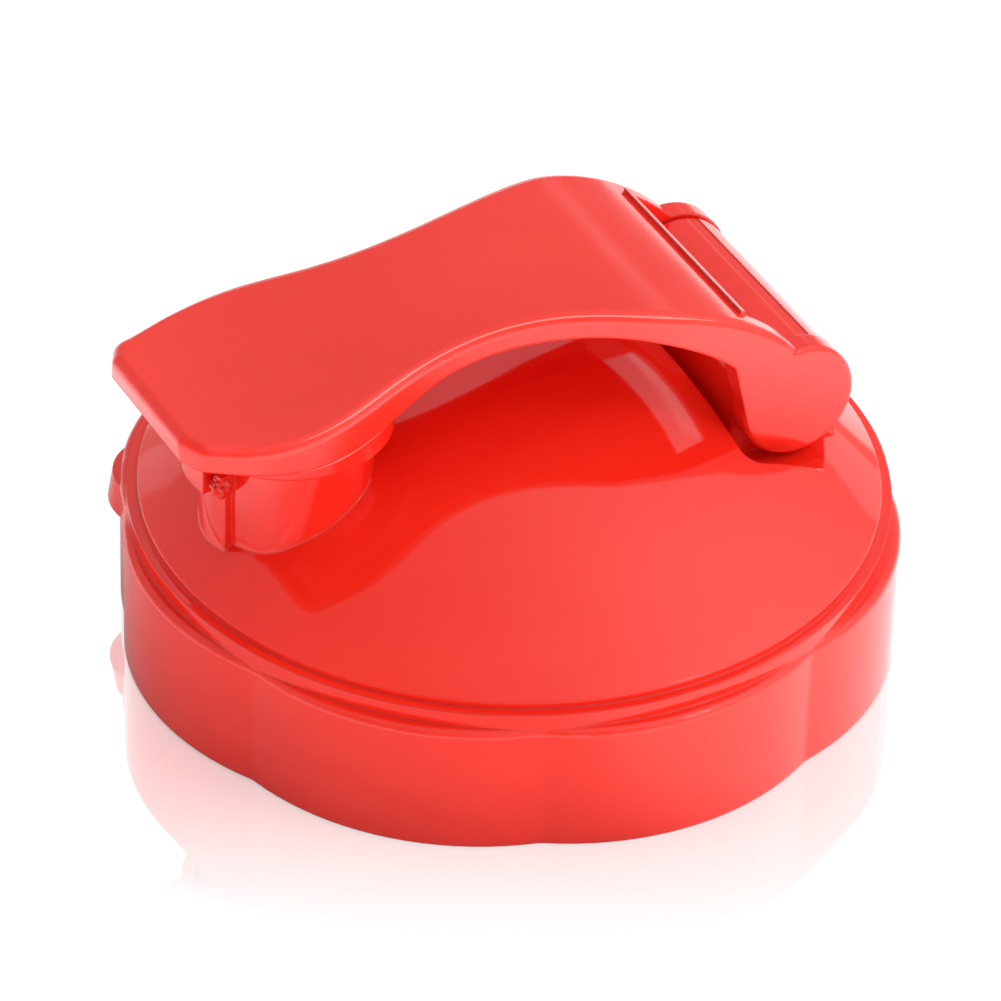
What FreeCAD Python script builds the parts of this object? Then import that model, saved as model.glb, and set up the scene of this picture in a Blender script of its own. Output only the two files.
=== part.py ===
import FreeCAD, Part
import math
import os
import re
import Sketcher

"""Flip-top screw lid: a lobed threaded lid with a pour spout, and the arched arm
that snaps onto its hinge barrel and caps the spout.

Frame: millimetres, +Z up, origin on the lid's axis at the plane of its open mouth.
X runs along the hinge pins, -Y points to the spout, +Y to the hinge."""

SIZES = [
    ("BoreRadius", 46.0, "inner wall of the skirt, where the bottle's thread grips"),
    ("NeckWall", 2.3, "wall between the bore and the round neck above the lobes"),
    ("CuspStep", 0.25, "how far the valleys between lobes stand out from the neck"),
    ("LobeDepth", 1.5, "how far a lobe's middle stands out from its valleys"),
    ("LobeCount", 8, "grip lobes round the skirt"),
    ("CuspBlend", 4.0, "rounding of the valleys between lobes"),
    ("LedgeHeight", 17.4, "top of the lobed skirt"),
    ("SkirtEdge", 0.9, "rounding of the skirt's top edge"),
    ("ShelfRise", 2.05, "height of the plain neck above the lobes"),
    ("ShelfWidth", 1.35, "narrow shelf between the neck and the crown"),
    ("CrownStep", 0.9, "upright step where the crown meets the shelf"),
    ("CrownRadius", 77.0, "radius of the domed crown"),
    ("CrownWall", 2.0, "wall of the crown"),
    ("SeatDrop", 2.2, "wall between the shelf and the top of the groove for the bottle's rim"),
    ("RimDepth", 3.25, "depth of that groove above the shoulder at the end of the bore"),
    ("RimInset", 0.6, "width of that shoulder"),
    ("RimGroove", 1.8, "width of the groove for the bottle's rim"),
    ("SealWall", 1.2, "wall of the sealing lip inside the groove"),
    ("SealShort", 0.3, "end of the sealing lip above the shoulder"),
    ("SpoutOffset", 31.3, "from the lid's axis forward to the spout's axis"),
    ("SpoutRadius", 10.9, "outside of the spout"),
    ("SpoutWall", 1.7, "wall of the spout"),
    ("SpoutRise", 5.0, "height of the spout's mouth above the crown's middle"),
    ("SpoutLip", 0.5, "rounding of the spout's mouth"),
    ("FacetDepth", 0.97, "depth of the step at the left end of the spout's recess"),
    ("FacetStart", -69.7, "direction of that step round the spout, degrees from +X"),
    ("FacetEnd", -25.0, "direction where the recess runs out into the round"),
    ("NibStart", -72.0, "direction of the seal bridge's left side"),
    ("NibSpread", 6.0, "width of the seal bridge round the spout, in degrees"),
    ("NibHeight", 3.2, "height of the broken seal bridge left on the spout"),
    ("NibReach", 1.5, "how far that bridge stands out from the spout"),
    ("HingeOffset", 30.8, "from the lid's axis back to the hinge axis"),
    ("HingeDrop", 2.2, "height of the hinge axis below the crown's middle"),
    ("BarrelRadius", 7.35, "round top of the hinge block"),
    ("BarrelHalf", 14.6, "half of the hinge block's width"),
    ("BarrelStep", 0.15, "low step along the back of the block's round top"),
    ("StepAngle", 65.0, "place of that step, degrees above the hinge axis"),
    ("BlockSlope", 1.2, "how far the hinge block's foot spreads"),
    ("BlockShoulder", 20.0, "where the block's round top ends, degrees above the hinge axis"),
    ("PinRadius", 2.4, "hinge pins moulded on the ears"),
    ("PinLength", 3.0, "how far each pin reaches into the hinge block"),
    ("PinClearance", 0.08, "between a pin and its hole, on the radius"),
    ("PinEnd", 0.4, "space past the end of a pin"),
    ("EarGap", 0.4, "between an ear and the end of the hinge block"),
    ("EarRadius", 7.8, "round of the ears about the hinge axis"),
    ("EarThickness", 3.4, "thickness of an ear"),
    ("EarNotch", 0.5, "step down from the ears' round to the arm's top line"),
    ("EarLean", 1.7, "how far the ears' front edge leans forward at its top"),
    ("EarEdge", 0.7, "rounding of the ears' outer rims"),
    ("WellSide", 3.6, "from an ear's outer face to the side of the hinge well"),
    ("WellFront", 1.3, "from the ears' front edge to the front of the hinge well"),
    ("WellFloorGap", 0.9, "from the ears' lowest point to the floor of the well"),
    ("WellCorner", 2.2, "rounding of the well's corners in plan"),
    ("TabDirection", -124.2, "direction of the small side tab, degrees from +X"),
    ("TabRound", 7.8, "radius of the tab's round front in plan"),
    ("TabReach", 0.6, "how far the top of the tab stands out past the lobes"),
    ("TabHeight", 4.0, "height of the side tab"),
    ("TabDraft", 9.0, "degrees by which the tab widens downwards"),
    ("TabDrop", 0.8, "top of the tab below the ledge"),
    ("ArmRise", 17.1, "height of the arm's highest point above the crown's middle"),
    ("NoseHalf", 9.2, "half width of the arm's straight front edge"),
    ("NoseSlope", 0.3, "how far the nose's face slopes back at its foot"),
    ("NoseCorner", 3.5, "rounding of the nose's corners in plan"),
    ("NoseReach", 6.2, "from the cap ring forward to the arm's nose"),
    ("ArmSkin", 2.0, "thickness of the arm's top"),
    ("ArmWall", 2.2, "thickness of the arm's side walls"),
    ("ArmEdge", 1.4, "rounding along the arm's top edges"),
    ("SlotLead", 6.6, "from the hinge axis forward to the arm's rear edge"),
    ("LipWidth", 0.8, "width of the raised lip along that edge"),
    ("LipHeight", 0.45, "how far that lip stands up from the arm's top"),
    ("CapGap", 0.6, "between the cap ring and the spout"),
    ("CapWall", 1.7, "wall of the cap ring"),
    ("CapOverlap", 2.6, "how far the cap ring reaches down past the spout's mouth"),
    ("ApronDrop", 5.7, "extra reach of the deep part of the cap ring"),
    ("SlitStart", -77.0, "direction where the deep part of the cap ring ends"),
    ("SlitEnd", -55.0, "direction where the shallow part begins"),
    ("SlitRise", 1.5, "how far the slit reaches above the spout's mouth"),
    ("ApronEnd", -180.0, "direction where the deep part of the cap ring starts"),
    ("PlugGap", 0.5, "between the plug and the spout's bore"),
    ("PlugWall", 1.4, "wall of the plug"),
    ("PlugDepth", 2.6, "how far the plug reaches into the spout"),
]

# The arm's side view: how far along from nose to hinge axis, and the height of the
# top and of the side wall's lower edge, as a share of the arm's height.
TOP_LINE = [
    (0.0, 0.696), (0.107, 0.632), (0.205, 0.690), (0.352, 0.836), (0.475, 0.947),
    (0.597, 1.0), (0.719, 0.959), (0.842, 0.813), (0.917, 0.632),
]
LOWER_LINE = [
    (0.004, 0.468), (0.107, 0.404), (0.205, 0.386), (0.303, 0.468), (0.401, 0.649),
    (0.499, 0.760), (0.597, 0.795), (0.696, 0.766), (0.769, 0.667), (0.842, 0.485),
]
# The recess in the spout's side: share of the way from its start to its end, and
# share of its depth. The last one lies just outside the round.
RECESS_LINE = [(0.19, 0.98), (0.39, 0.65), (0.61, 0.26), (0.82, 0.03), (1.0, -0.1)]
# The arm's half width at stations along the same line, as a share of the ears' half width.
SIDE_LINE = [
    (0.022, 0.685), (0.058, 0.752), (0.107, 0.837), (0.168, 0.886), (0.254, 0.853),
    (0.352, 0.734), (0.463, 0.666), (0.597, 0.734), (0.696, 0.864), (0.769, 0.957),
    (0.842, 0.993),
]

os.makedirs("parts", exist_ok=True)
doc = FreeCAD.newDocument("hinged_lid")
sheet = doc.addObject("Spreadsheet::Sheet", "sizes")
for row, (alias, size, note) in enumerate(SIZES, start=1):
    sheet.set(f"A{row}", alias)
    sheet.set(f"B{row}", str(size))
    sheet.set(f"C{row}", note)
    sheet.setAlias(f"B{row}", alias)
doc.recompute()

# Lengths that follow from the driving sizes, as expressions on the sheet.
NECK = "(BoreRadius + NeckWall)"
CUSP = f"({NECK} + CuspStep)"
LOBE = f"({CUSP} + LobeDepth)"
SHELF = "(LedgeHeight + ShelfRise)"
CROWN_EDGE = f"({NECK} - ShelfWidth)"
CROWN_FOOT = f"({SHELF} + CrownStep)"
CROWN_CENTRE = f"({CROWN_FOOT} - sqrt(CrownRadius ^ 2 - {CROWN_EDGE} ^ 2))"
CROWN_TOP = f"({CROWN_CENTRE} + CrownRadius)"
SEAT = f"({SHELF} - SeatDrop)"
SHOULDER = f"({SEAT} - RimDepth)"
GROOVE = "(BoreRadius - RimInset)"
SEAL_OUTER = f"({GROOVE} - RimGroove)"
SEAL_INNER = f"({SEAL_OUTER} - SealWall)"
HINGE_Z = f"({CROWN_TOP} - HingeDrop)"
SPOUT_TOP = f"({CROWN_TOP} + SpoutRise)"
EAR_IN = "(BarrelHalf + EarGap)"
EAR_OUT = f"({EAR_IN} + EarThickness)"
WELL_FLOOR = f"({HINGE_Z} - EarRadius - WellFloorGap)"
WELL_FRONT = "(HingeOffset - EarRadius - WellFront)"
WELL_SIDE = f"({EAR_OUT} + WellSide)"
CAP_INNER = "(SpoutRadius + CapGap)"
CAP_OUTER = f"({CAP_INNER} + CapWall)"
CAP_FOOT = f"({SPOUT_TOP} - CapOverlap)"
PLUG_OUTER = "(SpoutRadius - SpoutWall - PlugGap)"
NOSE = f"(SpoutOffset + {CAP_OUTER} + NoseReach)"


def on_sheet(expression):
    """The expression with each alias written as a cell of the sheet."""
    return re.sub(r"[A-Z]\w+", lambda found: "sizes." + found.group(0), expression)


def value(expression):
    """The number that an expression gives for the present sizes."""
    result = sheet.evalExpression(on_sheet(expression))
    return float(getattr(result, "Value", result))


def polar(radius, degrees, y_shift="0"):
    """A point at a radius and direction, as two expressions."""
    x = f"({radius}) * cos(({degrees}) * 1 deg)"
    y = f"({radius}) * sin(({degrees}) * 1 deg) - ({y_shift})"
    return x, y


def new_body(name):
    body = doc.addObject("PartDesign::Body", name)
    body.Label = name
    return body


def origin_plane(body, role):
    return next(f for f in body.Origin.OriginFeatures if f.Role == role)


def new_sketch(body, name, plane, offset="0"):
    """A sketch on one of the body's own planes, moved along its normal."""
    sketch = body.newObject("Sketcher::SketchObject", name)
    sketch.AttachmentSupport = (origin_plane(body, plane), [""])
    sketch.MapMode = "FlatFace"
    sketch.setExpression("AttachmentOffset.Base.z", on_sheet(f"({offset}) * 1 mm"))
    return sketch


def tie(sketch, kind, first, expression, unit="mm"):
    """A dimension of the sketch, bound to the sheet."""
    size = value(expression)
    index = sketch.addConstraint(Sketcher.Constraint(kind, *first, size))
    sketch.setExpression(f"Constraints[{index}]", on_sheet(f"({expression}) * 1 {unit}"))


def locate(sketch, geometry, end, x, y):
    """Holds one end of a line at a point given by two expressions."""
    for kind, axis, expression in (("DistanceX", -2, x), ("DistanceY", -1, y)):
        if abs(value(expression)) < 1e-9:
            sketch.addConstraint(Sketcher.Constraint("PointOnObject", geometry, end, axis))
        else:
            tie(sketch, kind, (-1, 1, geometry, end), expression)


def outline(sketch, points, arcs=None, curves=None):
    """A closed outline: lines between points, arcs through a middle point with a
    bound radius, and smooth curves through free stations."""
    arcs, curves = arcs or {}, curves or {}
    spots = [FreeCAD.Vector(value(x), value(y), 0) for x, y in points]
    count = len(spots)
    for i, (start, end) in enumerate(zip(spots, spots[1:] + spots[:1])):
        if i in arcs:
            middle = FreeCAD.Vector(value(arcs[i][0]), value(arcs[i][1]), 0)
            shape = Part.Arc(start, middle, end)
        elif i in curves:
            shape = Part.BSplineCurve()
            shape.interpolate([start] + curves[i] + [end])
        else:
            shape = Part.LineSegment(start, end)
        sketch.addGeometry(shape, False)
    # An arc is stored counter-clockwise, so its first end may be either point.
    ends = []
    for i in range(count):
        first = sketch.getPoint(i, 1).distanceToPoint(spots[i]) < 1e-6
        ends.append((1, 2) if first else (2, 1))
    for i in range(count):
        after = (i + 1) % count
        sketch.addConstraint(Sketcher.Constraint("Coincident", i, ends[i][1], after, ends[after][0]))
    for i in range(count):
        locate(sketch, i, ends[i][0], *points[i])
    for i, arc in arcs.items():
        tie(sketch, "Radius", (i,), arc[2])
    return sketch


def circle(sketch, radius, x="0", y="0"):
    centre = FreeCAD.Vector(value(x), value(y), 0)
    index = sketch.addGeometry(Part.Circle(centre, FreeCAD.Vector(0, 0, 1), value(radius)), False)
    locate(sketch, index, 3, x, y)
    tie(sketch, "Radius", (index,), radius)
    return sketch


def extrude(body, kind, name, sketch, length, both=False, back=False):
    """A pad or pocket of the sketch over a bound length."""
    feature = body.newObject(f"PartDesign::{kind}", name)
    feature.Profile = sketch
    feature.Midplane = both
    feature.Reversed = back
    feature.setExpression("Length", on_sheet(f"({length}) * 1 mm"))
    doc.recompute()
    return feature


def turn(body, name, sketch):
    """The sketch turned right round its own upright axis."""
    feature = body.newObject("PartDesign::Revolution", name)
    feature.Profile = sketch
    feature.ReferenceAxis = (sketch, ["V_Axis"])
    feature.Angle = 360
    doc.recompute()
    return feature


def round_edges(body, name, base, chosen, radius):
    """A fillet on the edges of a feature that a test picks."""
    edges = [f"Edge{i}" for i, edge in enumerate(base.Shape.Edges, start=1) if chosen(edge)]
    feature = body.newObject("PartDesign::Fillet", name)
    feature.Base = (base, edges)
    feature.setExpression("Radius", on_sheet(f"({radius}) * 1 mm"))
    doc.recompute()
    return feature


def is_upright(edge):
    a, b = edge.Vertexes[0].Point, edge.Vertexes[-1].Point
    return abs(a.x - b.x) + abs(a.y - b.y) < 1e-4 and abs(a.z - b.z) > 1e-3


def mean_height(edge):
    return edge.CenterOfMass.z


def combine(kind, name, first, second):
    """One boolean of two shapes of the document."""
    result = doc.addObject(f"Part::{kind}", name)
    result.Base, result.Tool = first, second
    doc.recompute()
    return result


def lid_outside():
    """Spout, lobed skirt, neck, domed crown, hinge well and hinge block, as one solid form."""
    body = new_body("lid_outside")
    spout_y = "-SpoutOffset"

    ring = circle(new_sketch(body, "spout_circle", "XY_Plane", SEAT), "SpoutRadius", "0", spout_y)
    spout = extrude(body, "Pad", "spout", ring, f"{SPOUT_TOP} - {SEAT}")
    mouth = value(SPOUT_TOP)
    round_edges(body, "spout_lip", spout, lambda e: abs(mean_height(e) - mouth) < 1e-4, "SpoutLip")

    # One side of the spout is drawn in: a small step on its left, then a smooth run-out.
    inner, clear = "(SpoutRadius - FacetDepth)", "(SpoutRadius + SpoutWall)"
    dip = [
        polar(f"SpoutRadius - {depth} * FacetDepth",
              f"FacetStart + {share} * (FacetEnd - FacetStart)", "SpoutOffset")
        for share, depth in RECESS_LINE
    ]
    recess = [
        polar(inner, "FacetStart", "SpoutOffset"), dip[-1],
        polar(clear, "FacetEnd", "SpoutOffset"), polar(clear, "FacetStart", "SpoutOffset"),
    ]
    stations = [FreeCAD.Vector(value(x), value(y), 0) for x, y in dip[:-1]]
    plan = new_sketch(body, "recess_outline", "XY_Plane", SEAT)
    outline(plan, recess, curves={0: stations})
    extrude(body, "Pocket", "spout_recess", plan, f"{CAP_FOOT} - {SEAT}", back=True)

    # The stub of the broken seal bridge stands left of the step, in the cap ring's slit.
    root, out = "(SpoutRadius - (FacetDepth + SpoutWall) / 2)", "(SpoutRadius + NibReach)"
    stub = [
        polar(root, "NibStart", "SpoutOffset"),
        polar(root, "NibStart + NibSpread", "SpoutOffset"),
        polar(out, "NibStart + NibSpread", "SpoutOffset"),
        polar(out, "NibStart", "SpoutOffset"),
    ]
    foot = f"({CAP_FOOT} - ApronDrop)"
    bridge = outline(new_sketch(body, "nib_outline", "XY_Plane", foot), stub)
    extrude(body, "Pad", "seal_nib", bridge, "NibHeight")

    # The lobed skirt.
    count = round(value("LobeCount"))
    step = 360.0 / count
    half = f"({step / 2} * 1 deg)"
    rise = f"({LOBE} - {CUSP} * cos({half}))"
    reach = f"({CUSP} * sin({half}))"
    lobe_radius = f"({reach} ^ 2 + {rise} ^ 2) / (2 * {rise})"
    cusps = [polar(CUSP, f"{step * (i + 0.5)}") for i in range(count)]
    arcs = {i: (*polar(LOBE, f"{step * (i + 1)}"), lobe_radius) for i in range(count)}
    lobes = outline(new_sketch(body, "lobe_outline", "XY_Plane"), cusps, arcs)
    skirt = extrude(body, "Pad", "skirt", lobes, "LedgeHeight")
    cusp = value(CUSP)
    valleys = round_edges(
        body, "lobe_valleys", skirt,
        lambda e: is_upright(e) and math.hypot(e.CenterOfMass.x, e.CenterOfMass.y) > cusp - 0.5,
        "CuspBlend",
    )
    ledge, spout_reach = value("LedgeHeight"), value("SpoutOffset + SpoutRadius + 1")

    def on_rim(edge):
        far = max(math.hypot(v.X, v.Y) for v in edge.Vertexes)
        return abs(mean_height(edge) - ledge) < 1e-4 and far > spout_reach

    round_edges(body, "skirt_edge", valleys, on_rim, "SkirtEdge")

    # Neck, shelf, step and domed crown, turned in one go.
    crown = [
        ("0", "LedgeHeight / 2"),
        (NECK, "LedgeHeight / 2"),
        (NECK, SHELF),
        (CROWN_EDGE, SHELF),
        (CROWN_EDGE, CROWN_FOOT),
        ("0", CROWN_TOP),
    ]
    middle = f"({CROWN_EDGE} / 2)"
    dome = {4: (middle, f"{CROWN_CENTRE} + sqrt(CrownRadius ^ 2 - {middle} ^ 2)", "CrownRadius")}
    profile = outline(new_sketch(body, "crown_profile", "XZ_Plane"), crown, dome)
    turn(body, "crown", profile)

    # The hinge well: a flat floor cut into the crown, open to the back.
    well = [
        (f"-{WELL_SIDE}", WELL_FRONT),
        (WELL_SIDE, WELL_FRONT),
        (WELL_SIDE, LOBE),
        (f"-{WELL_SIDE}", LOBE),
    ]
    floor = outline(new_sketch(body, "well_outline", "XY_Plane", WELL_FLOOR), well)
    cut = extrude(body, "Pocket", "hinge_well", floor, f"{CROWN_TOP} - {WELL_FLOOR}", back=True)
    front, side = value(WELL_FRONT), value(WELL_SIDE)
    cut = round_edges(
        body, "well_corners", cut,
        lambda e: is_upright(e) and abs(e.CenterOfMass.y - front) < 1e-3
        and abs(abs(e.CenterOfMass.x) - side) < 1e-3,
        "WellCorner",
    )

    # The hinge block: a round-topped wall across the well, with a hole in each end.
    def on_round(radius, degrees):
        """A point of the block's side view, at an angle above the hinge axis."""
        y, z = polar(radius, degrees)
        return f"HingeOffset + {y}", f"{HINGE_Z} + {z}"

    back = "(BarrelRadius + BarrelStep)"
    block = [
        ("HingeOffset - BarrelRadius - BlockSlope", SEAT),
        ("HingeOffset + BarrelRadius + BlockSlope", SEAT),
        on_round(back, "BlockShoulder"),
        on_round(back, "StepAngle"),
        on_round("BarrelRadius", "StepAngle"),
        on_round("BarrelRadius", "180 - BlockShoulder"),
    ]
    top = {
        2: (*on_round(back, "(BlockShoulder + StepAngle) / 2"), back),
        4: (*on_round("BarrelRadius", "90"), "BarrelRadius"),
    }
    side_view = outline(new_sketch(body, "block_profile", "YZ_Plane"), block, top)
    extrude(body, "Pad", "hinge_block", side_view, "2 * BarrelHalf", both=True)
    hole = circle(
        new_sketch(body, "pin_hole_circle", "YZ_Plane", "BarrelHalf"),
        "(PinRadius + PinClearance)", "HingeOffset", HINGE_Z,
    )
    right = extrude(body, "Pocket", "pin_hole", hole, "PinLength + PinEnd - EarGap")
    both = body.newObject("PartDesign::Mirrored", "pin_holes")
    both.Originals = [right]
    both.MirrorPlane = (origin_plane(body, "YZ_Plane"), [""])
    body.Tip = both
    doc.recompute()

    # The side tab on the skirt: a round-fronted lug that widens downwards.
    centre = polar(f"{LOBE} + TabReach - TabRound", "TabDirection")
    lug = circle(new_sketch(body, "tab_circle", "XY_Plane", "LedgeHeight - TabDrop"), "TabRound", *centre)
    tab = extrude(body, "Pad", "side_tab", lug, "TabHeight", back=True)
    tab.setExpression("TaperAngle", on_sheet("TabDraft * 1 deg"))
    doc.recompute()

    # The pour opening, from the spout's mouth through the crown.
    bore = circle(
        new_sketch(body, "bore_circle", "XY_Plane", SPOUT_TOP), "(SpoutRadius - SpoutWall)", "0", spout_y
    )
    extrude(body, "Pocket", "pour_opening", bore, f"{SPOUT_TOP} - {SEAT}")
    return body


def lid_inside():
    """The space inside the lid: mouth, rim seat, sealing lip and domed ceiling."""
    body = new_body("lid_inside")
    ceiling = "(CrownRadius - CrownWall)"
    ceiling_foot = f"{CROWN_CENTRE} + sqrt({ceiling} ^ 2 - {SEAL_INNER} ^ 2)"
    cavity = [
        ("0", "-CrownWall"),
        ("BoreRadius", "-CrownWall"),
        ("BoreRadius", SHOULDER),
        (GROOVE, SHOULDER),
        (GROOVE, SEAT),
        (SEAL_OUTER, SEAT),
        (SEAL_OUTER, f"{SHOULDER} + SealShort"),
        (SEAL_INNER, f"{SHOULDER} + SealShort"),
        (SEAL_INNER, ceiling_foot),
        ("0", f"{CROWN_CENTRE} + {ceiling}"),
    ]
    middle = f"({SEAL_INNER} / 2)"
    dome = {8: (middle, f"{CROWN_CENTRE} + sqrt({ceiling} ^ 2 - {middle} ^ 2)", ceiling)}
    profile = outline(new_sketch(body, "cavity_profile", "XZ_Plane"), cavity, dome)
    turn(body, "cavity", profile)

    # The hinge well keeps a wall of its own below its floor and round its sides.
    wall = "CrownWall"
    keep = [
        (f"-{WELL_SIDE} - {wall}", f"{WELL_FRONT} - {wall}"),
        (f"{WELL_SIDE} + {wall}", f"{WELL_FRONT} - {wall}"),
        (f"{WELL_SIDE} + {wall}", LOBE),
        (f"-{WELL_SIDE} - {wall}", LOBE),
    ]
    under = f"({WELL_FLOOR} - {wall})"
    tray = outline(new_sketch(body, "tray_outline", "XY_Plane", under), keep)
    extrude(body, "Pocket", "well_tray", tray, f"{CROWN_TOP} - {under}", back=True)

    # The hinge block is cored from below, up to just above the pin holes.
    half = "(BarrelHalf - PinLength - PinEnd - CrownWall)"
    deep = f"(BarrelRadius - {wall})"
    core = [
        (f"-{half}", f"HingeOffset - {deep}"),
        (half, f"HingeOffset - {deep}"),
        (half, f"HingeOffset + {deep}"),
        (f"-{half}", f"HingeOffset + {deep}"),
    ]
    low = f"({under} - {wall})"
    coring = outline(new_sketch(body, "core_outline", "XY_Plane", low), core)
    extrude(body, "Pad", "block_core", coring, f"{HINGE_Z} + PinRadius - {low}")
    return body


def along(share):
    """The place on the Y axis of a station between the nose and the hinge axis."""
    nose, hinge = -value(NOSE), value("HingeOffset")
    return nose + share * (hinge - nose)


def risen(share):
    """The height of a station of the arm's side view, as an expression."""
    return f"({CROWN_TOP} + {share} * ArmRise)"


def arm_side_form(name, skin="0", solid=False):
    """The arm seen from the side and widened both ways. The top line is lowered by a
    skin; a solid form ends in the real lower line, inside the ears, and any other one
    is cut off at the arm's rear edge and straight across, well below the arm."""
    body = new_body(name)
    top_line = [FreeCAD.Vector(along(s), value(f"{risen(h)} - ({skin})"), 0) for s, h in TOP_LINE]
    nose_top = (f"-{NOSE}", f"{risen(TOP_LINE[0][1])} - ({skin})")
    rear, floor = "(HingeOffset - SlotLead)", f"({HINGE_Z} - 2 * EarRadius)"
    if solid:
        lower = [FreeCAD.Vector(along(s), value(risen(h)), 0) for s, h in reversed(LOWER_LINE)]
        points = [
            nose_top,
            ("HingeOffset", f"{HINGE_Z} + EarRadius - EarNotch"),
            ("HingeOffset", f"{HINGE_Z} - EarRadius / 3"),
            ("HingeOffset - 0.9 * EarRadius", f"{HINGE_Z} - EarRadius / 3"),
            ("HingeOffset - EarRadius - EarLean", f"{HINGE_Z} + EarRadius"),
            (f"-{NOSE} + NoseSlope", risen(LOWER_LINE[0][1])),
        ]
        curves = {0: top_line[1:], 4: lower[:-1]}
    else:
        points = [
            nose_top,
            (rear, f"{risen(TOP_LINE[-1][1])} - ({skin})"),
            (rear, floor),
            (f"-{NOSE}", floor),
        ]
        curves = {0: top_line[1:-1]}
    sketch = outline(new_sketch(body, name + "_outline", "YZ_Plane"), points, curves=curves)
    extrude(body, "Pad", name + "_pad", sketch, f"3 * {EAR_OUT}", both=True)
    return body


def arm_plan_form(name, inset, rear_half):
    """The arm seen from above: a straight nose, waisted sides and parallel ears, all
    drawn in by an inset that the ears replace with their own half width."""
    body = new_body(name)
    widest, ear = value(rear_half), value(EAR_OUT)
    right = [
        FreeCAD.Vector(min(ear * share - value(inset), widest), along(s), 0)
        for s, share in SIDE_LINE
    ]
    left = [FreeCAD.Vector(-spot.x, spot.y, 0) for spot in reversed(right)]
    corner_share, corner_half = SIDE_LINE[0]
    nose_half = f"(NoseHalf - ({inset}) / 2)"
    corner = f"({EAR_OUT} * {corner_half} - ({inset}))"
    corner_y = f"((HingeOffset + {NOSE}) * {corner_share} - {NOSE} + ({inset}) / 2)"
    rear, end = "HingeOffset - EarRadius", "HingeOffset + 2 * EarRadius"
    points = [
        (f"-{nose_half}", f"-{NOSE} + ({inset})"),
        (nose_half, f"-{NOSE} + ({inset})"),
        (corner, corner_y),
        (rear_half, rear),
        (rear_half, end),
        (f"-({rear_half})", end),
        (f"-({rear_half})", rear),
        (f"-{corner}", corner_y),
    ]
    curves = {2: right[1:], 6: left[:-1]}
    floor = f"{HINGE_Z} - 2 * EarRadius"
    sketch = outline(new_sketch(body, name + "_outline", "XY_Plane", floor), points, curves=curves)
    pad = extrude(body, "Pad", name + "_pad", sketch, "6 * EarRadius")
    front = value(f"{corner_y} + 0.1")
    round_edges(
        body, name + "_corners", pad, lambda e: is_upright(e) and e.CenterOfMass.y < front,
        f"(NoseCorner - ({inset}))",
    )
    return body


def cap_form():
    """The cap ring with its deep apron and slit."""
    body = new_body("cap_form")
    centre = ("0", "-SpoutOffset")
    height = "(3 * EarRadius)"
    ring = new_sketch(body, "cap_circles", "XY_Plane", CAP_FOOT)
    circle(ring, CAP_OUTER, *centre)
    circle(ring, CAP_INNER, *centre)
    extrude(body, "Pad", "cap_ring", ring, height)

    apron_foot = f"({CAP_FOOT} - ApronDrop)"
    halfway = "(SlitStart + ApronEnd) / 2"
    points = [
        polar(CAP_INNER, "SlitStart", "SpoutOffset"),
        polar(CAP_OUTER, "SlitStart", "SpoutOffset"),
        polar(CAP_OUTER, "ApronEnd", "SpoutOffset"),
        polar(CAP_INNER, "ApronEnd", "SpoutOffset"),
    ]
    arcs = {
        1: (*polar(CAP_OUTER, halfway, "SpoutOffset"), CAP_OUTER),
        3: (*polar(CAP_INNER, halfway, "SpoutOffset"), CAP_INNER),
    }
    apron = outline(new_sketch(body, "apron_outline", "XY_Plane", apron_foot), points, arcs)
    extrude(body, "Pad", "cap_apron", apron, f"ApronDrop + {height}")

    near, far = f"({CAP_INNER} - CapGap / 2)", f"({CAP_OUTER} + CapWall)"
    slit = [
        polar(near, "SlitStart", "SpoutOffset"),
        polar(far, "SlitStart", "SpoutOffset"),
        polar(far, "SlitEnd", "SpoutOffset"),
        polar(near, "SlitEnd", "SpoutOffset"),
    ]
    gap = outline(new_sketch(body, "slit_outline", "XY_Plane", apron_foot), slit)
    extrude(body, "Pocket", "cap_slit", gap, "ApronDrop + CapOverlap + SlitRise", back=True)
    return body


def plug_form():
    """The ring-shaped plug that seals the spout's bore from inside."""
    body = new_body("plug_form")
    rings = new_sketch(body, "plug_circles", "XY_Plane", f"{SPOUT_TOP} - PlugDepth")
    circle(rings, PLUG_OUTER, "0", "-SpoutOffset")
    circle(rings, f"{PLUG_OUTER} - PlugWall", "0", "-SpoutOffset")
    extrude(body, "Pad", "plug_ring", rings, "3 * EarRadius")
    return body


def ear_form(name, side):
    """One ear's round disc, and the hinge pin that reaches into the hinge block."""
    body = new_body(name)
    face = EAR_IN if side > 0 else f"-{EAR_IN}"
    disc = circle(new_sketch(body, name + "_circle", "YZ_Plane", face), "EarRadius", "HingeOffset", HINGE_Z)
    ear = extrude(body, "Pad", name + "_disc", disc, "EarThickness", back=side < 0)
    outer = value(EAR_OUT)
    round_edges(
        body, name + "_rim", ear,
        lambda e: isinstance(e.Curve, Part.Circle) and abs(abs(e.CenterOfMass.x) - outer) < 1e-3,
        "EarEdge",
    )
    round_pin = new_sketch(body, name + "_pin_circle", "YZ_Plane", face)
    pin = circle(round_pin, "PinRadius", "HingeOffset", HINGE_Z)
    extrude(body, "Pad", name + "_pin", pin, "EarGap + PinLength", back=side > 0)
    return body


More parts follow.
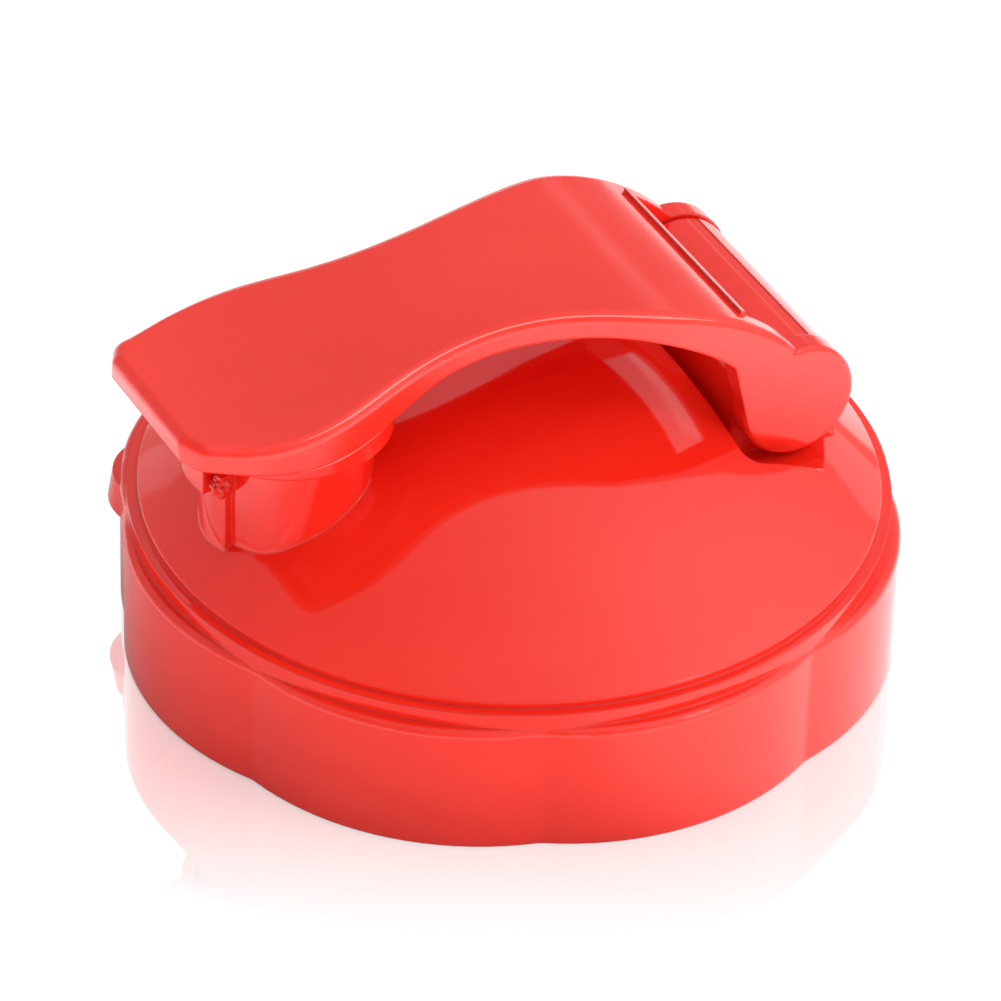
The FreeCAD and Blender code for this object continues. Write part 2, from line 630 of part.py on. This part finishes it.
def flip_arm():
    """The arm: an arched strap with side walls, two ears with pins, and the cap."""
    side = arm_side_form("arm_side", solid=True)
    plan = arm_plan_form("arm_plan", "0", EAR_OUT)
    blank = combine("Common", "arm_blank", side, plan)

    # The long top edges and the nose's edges are rounded.
    rounded = new_body("arm_rounded")
    rounded.BaseFeature = blank
    doc.recompute()
    nose = -value(NOSE)
    line = Part.BSplineCurve()
    line.interpolate([FreeCAD.Vector(0, along(s), value(risen(h))) for s, h in TOP_LINE])

    def on_top(edge):
        middle = edge.valueAt((edge.FirstParameter + edge.LastParameter) / 2)
        flat = FreeCAD.Vector(0, middle.y, middle.z)
        near = line.value(line.parameter(flat)).distanceToPoint(flat) < 0.3
        crosses = abs(edge.Vertexes[0].X + edge.Vertexes[-1].X) < 1e-3
        return near and (not crosses or middle.y < nose + 1)

    round_edges(rounded, "arm_edges", rounded.Group[0], on_top, "ArmEdge")

    hollow = combine(
        "Common", "arm_hollow",
        arm_side_form("hollow_side", skin="ArmSkin"), arm_plan_form("hollow_plan", "ArmWall", EAR_IN),
    )
    shell = combine("Cut", "arm_shell", rounded, hollow)
    slot = doc.addObject("Part::Box", "hinge_slot")
    slot.setExpression("Length", on_sheet(f"2 * {EAR_IN} * 1 mm"))
    slot.setExpression("Width", on_sheet("(SlotLead + 2 * EarRadius) * 1 mm"))
    slot.setExpression("Height", on_sheet("4 * EarRadius * 1 mm"))
    slot.setExpression("Placement.Base.x", on_sheet(f"-{EAR_IN} * 1 mm"))
    slot.setExpression("Placement.Base.y", on_sheet("(HingeOffset - SlotLead) * 1 mm"))
    slot.setExpression("Placement.Base.z", on_sheet(f"({HINGE_Z} - 2 * EarRadius) * 1 mm"))
    open_arm = combine("Cut", "arm_open", shell, slot)

    # A thin lip stands along the arm's rear edge, between the ears.
    lip_box = doc.addObject("Part::Box", "lip_box")
    rear_top = risen(TOP_LINE[-1][1])
    lip_box.setExpression("Length", on_sheet(f"(2 * {EAR_IN} + EarGap) * 1 mm"))
    lip_box.setExpression("Width", on_sheet("2 * LipWidth * 1 mm"))
    lip_box.setExpression("Height", on_sheet("EarRadius * 1 mm"))
    lip_box.setExpression("Placement.Base.x", on_sheet(f"-({EAR_IN} + EarGap / 2) * 1 mm"))
    lip_box.setExpression("Placement.Base.y", on_sheet("(HingeOffset - SlotLead - LipWidth) * 1 mm"))
    lip_box.setExpression("Placement.Base.z", on_sheet(f"({rear_top} - ArmSkin / 2) * 1 mm"))
    lip = combine("Common", "rear_lip", arm_side_form("lip_side", skin="-LipHeight"), lip_box)

    # The cap ring and plug run up into the arm's skin and stop inside it.
    trim = arm_side_form("cap_trim", skin="ArmSkin / 2")
    ring = combine("Common", "cap_ring_trimmed", cap_form(), trim)
    plug = combine("Common", "plug_trimmed", plug_form(), trim)
    arm = doc.addObject("Part::MultiFuse", "flip_arm")
    ears = [ear_form("ear_right", 1), ear_form("ear_left", -1)]
    arm.Shapes = [open_arm, lip, ring, plug, *ears]
    doc.recompute()
    return arm


def lid_body():
    """The lid: the outside form less the space inside it."""
    return combine("Cut", "lid_body", lid_outside(), lid_inside())


def check(parts):
    """Stops the script if any object failed or a part isn't one sound solid."""
    for item in doc.Objects:
        if {"Invalid", "Error"} & set(item.State):
            raise RuntimeError(f"{item.Label} did not build: {item.State}")
    for item in parts:
        shape = item.Shape
        if shape.isNull() or not shape.isValid() or len(shape.Solids) != 1:
            raise RuntimeError(f"{item.Label} is not one sound solid")
        box = shape.optimalBoundingBox()
        print(item.Label, len(shape.Solids), "solid,", round(shape.Volume), "mm3,", box)


parts = [lid_body(), flip_arm()]
for part in parts:
    part.Label = part.Name
doc.recompute()
check(parts)
for part in parts:
    part.Shape.exportStep(f"parts/{part.Label}.step")
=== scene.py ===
import math

import bmesh
import bpy
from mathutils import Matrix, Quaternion, Vector, noise
from mathutils.bvhtree import BVHTree


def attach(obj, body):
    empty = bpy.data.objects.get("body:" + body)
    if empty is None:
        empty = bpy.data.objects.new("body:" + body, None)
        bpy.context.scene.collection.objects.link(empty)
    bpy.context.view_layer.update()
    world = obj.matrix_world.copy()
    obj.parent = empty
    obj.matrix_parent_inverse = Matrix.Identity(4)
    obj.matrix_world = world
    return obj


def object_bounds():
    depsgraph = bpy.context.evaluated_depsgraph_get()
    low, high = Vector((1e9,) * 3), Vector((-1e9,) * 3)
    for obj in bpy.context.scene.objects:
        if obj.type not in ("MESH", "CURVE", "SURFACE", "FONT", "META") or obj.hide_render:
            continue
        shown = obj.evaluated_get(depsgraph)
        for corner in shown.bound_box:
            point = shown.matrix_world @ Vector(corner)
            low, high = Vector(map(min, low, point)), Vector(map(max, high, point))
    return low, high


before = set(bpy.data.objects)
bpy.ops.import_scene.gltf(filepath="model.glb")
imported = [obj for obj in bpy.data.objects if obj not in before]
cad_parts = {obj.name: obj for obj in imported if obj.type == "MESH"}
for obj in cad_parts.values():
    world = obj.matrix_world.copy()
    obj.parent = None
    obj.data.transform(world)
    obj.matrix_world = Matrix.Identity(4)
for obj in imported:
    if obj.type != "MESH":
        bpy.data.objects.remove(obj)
cad_low, cad_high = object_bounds()
scene = bpy.context.scene

# The camera of the photograph, in the part's frame.
LENS = 237.29
CAMERA_AT = (0.59238, -0.32289, 0.50793)
CAMERA_TURN = (0.758643, 0.393291, 0.225533, 0.467887)

# The stub of the broken seal between spout and cap.
SCAR_AT = (0.0042, -0.0424, 0.0346)
SCAR_SIZE = 0.00128
SCAR_RAGS, SCAR_CHIPS = 1900, 2300

# The crisp lines along the arm's edges, from the nose's side to the ears; their paler red is a painted
# highlight.
BEAD_FROM, BEAD_TO, FOOT_TO = -0.0375, 0.0190, -0.0250
BEAD_SIZE = 0.00013
BEAD_STEP = 0.001
FOOT_SHARE = 0.8

# Where the lines are searched from: above, beside and below the arm, across its width, down
# its side wall, out from its rounded corner and in from the wall's outer face.
ABOVE_ARM, BESIDE_ARM, BELOW_ARM = 0.080, 0.040, 0.020
ACROSS, DOWN_WALL, OFF_CORNER, IN_WALL = 0.008, 0.0022, 0.003, 0.0007

# The plastic's own colour, and how glossy each moulding is.
RED = (0.86, 0.0195, 0.009)
# A paler red for the arm's edge lines: a painted highlight along the edges.
EDGE_HIGHLIGHT_RED = (0.92, 0.16, 0.13)
LID_GLOSS = 0.075
ARM_GLOSS = 0.16

# The directions in which the table's polish fades, in which its painted glow is stronger and in which
# its painted shade lies, in degrees from +X.
POLISH_FADE, LIT_SIDE, SHADED_SIDE = -28.6, 50, 140

# The thread on the skirt's inner wall; its steps are for one turn, and it fades over a part
# of a turn at each end.
BORE = 0.0460
THREAD_PITCH = 0.005
THREAD_TURNS = 1.4
THREAD_START = 0.0050
THREAD_DEPTH = 0.0010
THREAD_ROOT = 0.0022
THREAD_CREST = 0.0010
THREAD_STEPS = 120
THREAD_FADE = 0.06
THREAD_SUNK = 0.0004

# The radius of the mouldings' soft edges, of the crisp lines' and of the thread's.
SOFT_EDGE, CRISP_EDGE, THREAD_EDGE = 0.00045, 0.00003, 0.00022

# The table.
TABLE_SIZE = 6.0
TABLE_GAP = 0.0002

# The studio's light: its level all round, and wide lobes on it, each given by azimuth,
# elevation, narrowness and strength.
STUDIO_LEVEL = 0.47
STUDIO_LOBES = (
    (40, 42, 2.0, 1.15),
    (80, 46, 6.0, 0.60),
    (160, 48, 12.0, 0.32),
    (-30, 5, 1.0, -0.32),
    (-125, 0, 2.0, 0.40),
)

# The lamps: name, azimuth, elevation, distance, width, height, radiance and roll.
LAMPS = (
    ("box_back_left", -169, 12, 2.0, 0.34, 0.45, 0.42, 0),
    ("box_back_right", 116, 9, 2.0, 0.60, 0.40, 0.6, 0),
    ("strip_back", 132, 27.5, 2.0, 0.112, 0.945, 0.52, 41),
    ("box_edges", 38, 49, 1.6, 0.26, 0.26, 9.0, 0),
)
LAMPS_AIM = (0, 0, 0.025)


def link(obj):
    bpy.context.collection.objects.link(obj)
    return obj


class Graph:
    """A short way to write a node tree."""

    def __init__(self, tree):
        self.tree = tree
        tree.nodes.clear()

    def add(self, kind, inputs=None, **settings):
        node = self.tree.nodes.new(kind)
        for key, setting in settings.items():
            setattr(node, key, setting)
        for key, given in (inputs or {}).items():
            if isinstance(given, bpy.types.NodeSocket):
                self.tree.links.new(given, node.inputs[key])
            else:
                node.inputs[key].default_value = given
        return node

    def math(self, operation, first, second=0.0):
        return self.add("ShaderNodeMath", {0: first, 1: second}, operation=operation).outputs[0]

    def dot(self, where, aim):
        node = self.add("ShaderNodeVectorMath", {0: where, 1: tuple(aim)}, operation="DOT_PRODUCT")
        return node.outputs["Value"]

    def spread(self, given, low, high, to_low=0.0, to_high=1.0):
        node = self.add(
            "ShaderNodeMapRange",
            {"Value": given, "From Min": low, "From Max": high, "To Min": to_low, "To Max": to_high},
            interpolation_type="SMOOTHSTEP",
        )
        return node.outputs["Result"]

    def blend(self, factor, first, second):
        return self.add("ShaderNodeMix", {0: factor, 6: first, 7: second}, data_type="RGBA").outputs[2]

    def noise(self, where, scale, detail=2.0, rough=0.5, warp=0.0):
        node = self.add(
            "ShaderNodeTexNoise",
            {"Vector": where, "Scale": scale, "Detail": detail, "Roughness": rough, "Distortion": warp},
        )
        return node.outputs["Fac"]


def moulded_plastic(name, colour, gloss, edge):
    """Glossy moulded plastic: faint flow marks, a slightly wavy skin, fine wear in the
    gloss, a few specks of dust, and soft edges."""
    material = bpy.data.materials.new(name)
    material.use_nodes = True
    g = Graph(material.node_tree)
    where = g.add("ShaderNodeTexCoord").outputs["Object"]

    # Flow marks: long soft streaks of slightly deeper and lighter red.
    streaks = g.add("ShaderNodeMapping", {"Vector": where, "Scale": (1.0, 0.35, 1.6)}).outputs["Vector"]
    flow = g.spread(g.noise(streaks, 26.0, 3.0, 0.55, 0.6), 0.30, 0.72)
    deeper = (colour[0] * 0.94, colour[1] * 0.75, colour[2] * 0.75, 1.0)
    lighter = (min(colour[0] * 1.04, 1.0), colour[1] * 1.35, colour[2] * 1.35, 1.0)
    tone = g.blend(flow, deeper, lighter)

    # Dust: sparse tiny pale specks.
    cells = g.add("ShaderNodeTexVoronoi", {"Vector": where, "Scale": 130.0, "Randomness": 1.0})
    rarely = g.spread(g.noise(where, 140.0, 1.0), 0.62, 0.66)
    speck = g.math("MULTIPLY", g.spread(cells.outputs["Distance"], 0.030, 0.016), rarely)
    tone = g.blend(g.math("MULTIPLY", speck, 0.22), tone, (0.85, 0.35, 0.32, 1.0))

    # Gloss: cloudy patches and hair scratches.
    clouds = g.spread(g.noise(where, 55.0, 4.0, 0.6, 0.3), 0.35, 0.70, gloss * 0.82, gloss * 1.25)
    along = g.add(
        "ShaderNodeMapping",
        {"Vector": where, "Scale": (1.0, 14.0, 1.0), "Rotation": (0.2, 0.1, 0.7)},
    ).outputs["Vector"]
    hairs = g.spread(g.noise(along, 160.0, 2.0, 0.7), 0.70, 0.76)
    rough = g.math("ADD", clouds, g.math("MULTIPLY", hairs, 0.07))
    rough = g.math("ADD", rough, g.math("MULTIPLY", speck, 0.25))

    # Skin: long waves of the moulding, a fine peel, and the scratches and specks.
    soft_edge = g.add("ShaderNodeBevel", {"Radius": edge}, samples=4).outputs["Normal"]
    long_waves = g.noise(where, 42.0, 1.0, 0.4)
    waves = g.add(
        "ShaderNodeBump",
        {"Height": long_waves, "Distance": 0.00022, "Strength": 0.12, "Normal": soft_edge},
    ).outputs["Normal"]
    peel_height = g.math("SUBTRACT", g.noise(where, 900.0, 2.0, 0.5), g.math("MULTIPLY", hairs, 0.25))
    fine_marks = g.math("ADD", peel_height, speck)
    peel = g.add(
        "ShaderNodeBump",
        {"Height": fine_marks, "Distance": 0.000006, "Strength": 0.4, "Normal": waves},
    ).outputs["Normal"]

    shader = g.add(
        "ShaderNodeBsdfPrincipled",
        {
            "Base Color": tone,
            "Roughness": rough,
            "IOR": 1.5,
            "Subsurface Weight": 0.06,
            "Subsurface Radius": (1.0, 0.12, 0.08),
            "Subsurface Scale": 0.0015,
            "Normal": peel,
        },
    )
    g.add("ShaderNodeOutputMaterial", {"Surface": shader.outputs[0]})
    return material


def dress(node, material):
    """Gives a CAD node its material."""
    obj = bpy.data.objects[node]
    if not obj.material_slots:
        obj.data.materials.append(material)
    for place in obj.material_slots:
        place.material = material


def thread_ridge(material):
    """The coarse thread: a ridge that climbs the skirt's inner wall and fades out at both ends."""
    mesh = bmesh.new()
    steps = round(THREAD_TURNS * THREAD_STEPS)
    sunk = BORE + THREAD_SUNK
    rings = []
    for i in range(steps + 1):
        turn = i / steps
        angle = turn * THREAD_TURNS * 2 * math.pi
        middle = THREAD_START + turn * THREAD_TURNS * THREAD_PITCH
        grown = min(1.0, turn * THREAD_TURNS / THREAD_FADE, (1 - turn) * THREAD_TURNS / THREAD_FADE)
        grown = max(grown, 0.02)
        crest = BORE - THREAD_DEPTH * grown
        half_root, half_crest = THREAD_ROOT / 2, THREAD_CREST / 2
        section = [
            (sunk, -half_root), (BORE, -half_root), (crest, -half_crest),
            (crest, half_crest), (BORE, half_root), (sunk, half_root),
        ]
        rings.append([
            mesh.verts.new((r * math.cos(angle), r * math.sin(angle), middle + z)) for r, z in section
        ])
    for first, second in zip(rings, rings[1:]):
        for k in range(len(first)):
            after = (k + 1) % len(first)
            mesh.faces.new((first[k], first[after], second[after], second[k]))
    mesh.faces.new(list(reversed(rings[0])))
    mesh.faces.new(rings[-1])
    bmesh.ops.recalc_face_normals(mesh, faces=mesh.faces)
    data = bpy.data.meshes.new("thread_ridge")
    mesh.to_mesh(data)
    mesh.free()
    data.materials.append(material)
    obj = link(bpy.data.objects.new("thread_ridge", data))
    bevel = obj.modifiers.new("soft", "BEVEL")
    bevel.width, bevel.segments, bevel.limit_method = THREAD_EDGE, 2, "ANGLE"
    for face in data.polygons:
        face.use_smooth = True
    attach(obj, "lid")


def arm_mesh():
    """The arm's CAD surface as it stands at rest, for finding places on it."""
    arm = bpy.data.objects["flip_arm"]
    spots = [arm.matrix_world @ vert.co for vert in arm.data.vertices]
    return BVHTree.FromPolygons(spots, [list(face.vertices) for face in arm.data.polygons])


def bead(name, spots, radius, material):
    """A fine raised line on the arm's surface, pointed at both ends."""
    data = bpy.data.curves.new(name, "CURVE")
    data.dimensions = "3D"
    data.bevel_depth, data.bevel_resolution = radius, 2
    line = data.splines.new("POLY")
    line.points.add(len(spots) - 1)
    for i, (point, spot) in enumerate(zip(line.points, spots)):
        point.co = (*spot, 1.0)
        point.radius = min(1.0, 0.15 + i / 8, 0.15 + (len(spots) - 1 - i) / 8)
    curve = link(bpy.data.objects.new(name, data))
    bpy.context.view_layer.update()
    mesh = bpy.data.meshes.new_from_object(curve.evaluated_get(bpy.context.evaluated_depsgraph_get()))
    bpy.data.objects.remove(curve)
    mesh.name = name
    mesh.materials.clear()
    mesh.materials.append(material)
    for face in mesh.polygons:
        face.use_smooth = True
    obj = link(bpy.data.objects.new(name, mesh))
    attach(obj, "arm")


def arm_beads(material):
    """The crisp lines where the arm's top meets its side walls, and along the walls' feet, in the given
    material, whose paler red is a painted highlight.
    """
    surface = arm_mesh()
    for side, label in ((1, "right"), (-1, "left")):
        upper, lower = [], []
        y = BEAD_FROM
        while y <= BEAD_TO:
            above = Vector((side * ACROSS, y, ABOVE_ARM))
            top = surface.ray_cast(above, Vector((0, 0, -1)))[0]
            beside = Vector((side * BESIDE_ARM, y, top.z - DOWN_WALL))
            wall = surface.ray_cast(beside, Vector((-side, 0, 0)))[0]
            corner = Vector((wall.x, y, top.z))
            outward = Vector((side, 0, 1)).normalized()
            upper.append(surface.ray_cast(corner + outward * OFF_CORNER, -outward)[0])
            if y <= FOOT_TO:
                below = Vector((wall.x - side * IN_WALL, y, BELOW_ARM))
                foot = surface.ray_cast(below, Vector((0, 0, 1)))[0]
                lower.append(Vector((wall.x, y, foot.z)))
            y += BEAD_STEP
        bead("arm_edge_" + label, upper, BEAD_SIZE, material)
        bead("arm_foot_" + label, lower, BEAD_SIZE * FOOT_SHARE, material)


def seal_scar(material):
    """The torn plastic round the stub of the broken seal: a small ragged lump."""
    mesh = bmesh.new()
    bmesh.ops.create_icosphere(mesh, subdivisions=4, radius=SCAR_SIZE)
    for vert in mesh.verts:
        push = noise.multi_fractal(vert.co * SCAR_RAGS, 0.6, 2.2, 4)
        sharp = noise.cell(vert.co * SCAR_CHIPS + Vector((3, 1, 7)))
        vert.co *= 0.68 + 0.26 * push + 0.16 * sharp
        vert.co.z *= 1.12
    data = bpy.data.meshes.new("seal_scar")
    mesh.to_mesh(data)
    mesh.free()
    data.materials.append(material)
    obj = link(bpy.data.objects.new("seal_scar", data))
    obj.location = SCAR_AT
    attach(obj, "lid")


def make_floor():
    """A pale glossy table that keeps a soft shadow and a faint, fading mirror image."""
    mesh = bmesh.new()
    bmesh.ops.create_grid(mesh, x_segments=1, y_segments=1, size=TABLE_SIZE)
    data = bpy.data.meshes.new("table_top")
    mesh.to_mesh(data)
    mesh.free()
    floor = link(bpy.data.objects.new("table_top", data))
    floor.location.z = cad_low.z - TABLE_GAP

    material = bpy.data.materials.new("table_top")
    material.use_nodes = True
    g = Graph(material.node_tree)
    where = g.add("ShaderNodeTexCoord").outputs["Object"]
    sideways = g.add("ShaderNodeSeparateXYZ", {0: where}).outputs["X"]
    fade = g.spread(g.dot(where, direction(POLISH_FADE, 0)), 0.030, 0.082, 0.35, 0.0)
    distance = g.add("ShaderNodeVectorMath", {0: where}, operation="LENGTH").outputs["Value"]
    near = g.spread(distance, 0.066, 0.077, 1.0, 0.0)
    mirror = g.math("MULTIPLY", fade, g.spread(sideways, 0.005, 0.045, 1.35, 1.0))
    mirror = g.math("MULTIPLY", mirror, near)
    dull = g.add("ShaderNodeBsdfDiffuse", {"Color": (0.28, 0.28, 0.28, 1)}).outputs[0]
    glow = g.add("ShaderNodeEmission", {"Color": (1, 1, 1, 1), "Strength": 0.82}).outputs[0]
    pale = g.add("ShaderNodeAddShader", {0: dull, 1: glow}).outputs[0]
    shine = g.add("ShaderNodeBsdfGlossy", {"Color": (1.4, 1.4, 1.4, 1), "Roughness": 0.012}).outputs[0]
    seen = g.add("ShaderNodeMixShader", {0: mirror, 1: pale, 2: shine}).outputs[0]
    # What the plastic's sides mirror: a painted glow makes the table brighter on the lit side and away
    # from the lid, and a painted shade makes it darker behind the hinge.
    beside = g.spread(g.dot(where, direction(LIT_SIDE, 0)), 0.022, 0.046, 0.0, 0.68)
    beyond = g.spread(distance, 0.075, 0.095, 0.02, 1.2)
    lit = g.add(
        "ShaderNodeEmission", {"Color": (1, 1, 1, 1), "Strength": g.math("ADD", beside, beyond)},
    ).outputs[0]
    # Painted shade: the table's diffuse colour greys behind the hinge.
    shade = g.spread(g.dot(where, direction(SHADED_SIDE, 0)), 0.025, 0.050, 0.82, 0.12)
    painted_shade_grey = g.blend(shade, (0, 0, 0, 1), (1, 1, 1, 1))
    shaded = g.add("ShaderNodeBsdfDiffuse", {"Color": painted_shade_grey}).outputs[0]
    around = g.add("ShaderNodeAddShader", {0: shaded, 1: lit}).outputs[0]
    is_camera = g.add("ShaderNodeLightPath").outputs["Is Camera Ray"]
    both = g.add("ShaderNodeMixShader", {0: is_camera, 1: around, 2: seen}).outputs[0]
    g.add("ShaderNodeOutputMaterial", {"Surface": both})
    data.materials.append(material)


def direction(azimuth, elevation):
    """A unit vector; azimuth is measured from +X towards +Y."""
    a, e = math.radians(azimuth), math.radians(elevation)
    return Vector((math.cos(a) * math.cos(e), math.sin(a) * math.cos(e), math.sin(e)))


def make_world():
    """A white studio, brighter above, behind and to the right, and plain white to the camera."""
    world = bpy.data.worlds.new("studio")
    scene.world = world
    world.use_nodes = True
    g = Graph(world.node_tree)
    where = g.add("ShaderNodeTexCoord").outputs["Generated"]
    level = STUDIO_LEVEL
    for azimuth, elevation, power, strength in STUDIO_LOBES:
        towards = g.dot(where, direction(azimuth, elevation))
        lobe = g.math("POWER", g.math("MAXIMUM", towards, 0.0), power)
        level = g.math("ADD", g.math("MULTIPLY", lobe, strength), level)
    light = g.add("ShaderNodeBackground", {"Color": (1, 1, 1, 1), "Strength": level}).outputs[0]
    white = g.add("ShaderNodeBackground", {"Color": (1, 1, 1, 1), "Strength": 1.0}).outputs[0]
    is_camera = g.add("ShaderNodeLightPath").outputs["Is Camera Ray"]
    both = g.add("ShaderNodeMixShader", {0: is_camera, 1: light, 2: white}).outputs[0]
    g.add("ShaderNodeOutputWorld", {"Surface": both})


def soft_box(name, azimuth, elevation, distance, width, height, radiance, roll):
    """A rectangular lamp that faces the lid, with the radiance that its mirror image shows."""
    data = bpy.data.lights.new(name, "AREA")
    data.shape = "RECTANGLE"
    data.size, data.size_y = width, height
    data.energy = radiance * math.pi * width * height
    lamp = link(bpy.data.objects.new(name, data))
    aim = direction(azimuth, elevation)
    lamp.location = aim * distance + Vector(LAMPS_AIM)
    lamp.rotation_mode = "QUATERNION"
    lamp.rotation_quaternion = aim.to_track_quat("Z", "Y") @ Quaternion((0, 0, 1), math.radians(roll))


def make_camera():
    data = bpy.data.cameras.new("photo_camera")
    data.sensor_width = 36.0
    data.lens = LENS
    data.clip_start, data.clip_end = 0.05, 30.0
    camera = link(bpy.data.objects.new("photo_camera", data))
    camera.location = CAMERA_AT
    camera.rotation_mode = "QUATERNION"
    camera.rotation_quaternion = CAMERA_TURN
    scene.camera = camera


lid_red = moulded_plastic("lid_red", RED, LID_GLOSS, SOFT_EDGE)
arm_red = moulded_plastic("arm_red", RED, ARM_GLOSS, SOFT_EDGE)
dress("lid_body", lid_red)
dress("flip_arm", arm_red)
thread_ridge(lid_red)
seal_scar(lid_red)
# The edge lines' paler red is a painted highlight.
arm_beads(moulded_plastic("edge_highlight_red", EDGE_HIGHLIGHT_RED, LID_GLOSS, CRISP_EDGE))

make_floor()
make_world()
for lamp in LAMPS:
    soft_box(*lamp)
make_camera()
scene.view_settings.view_transform = "Standard"
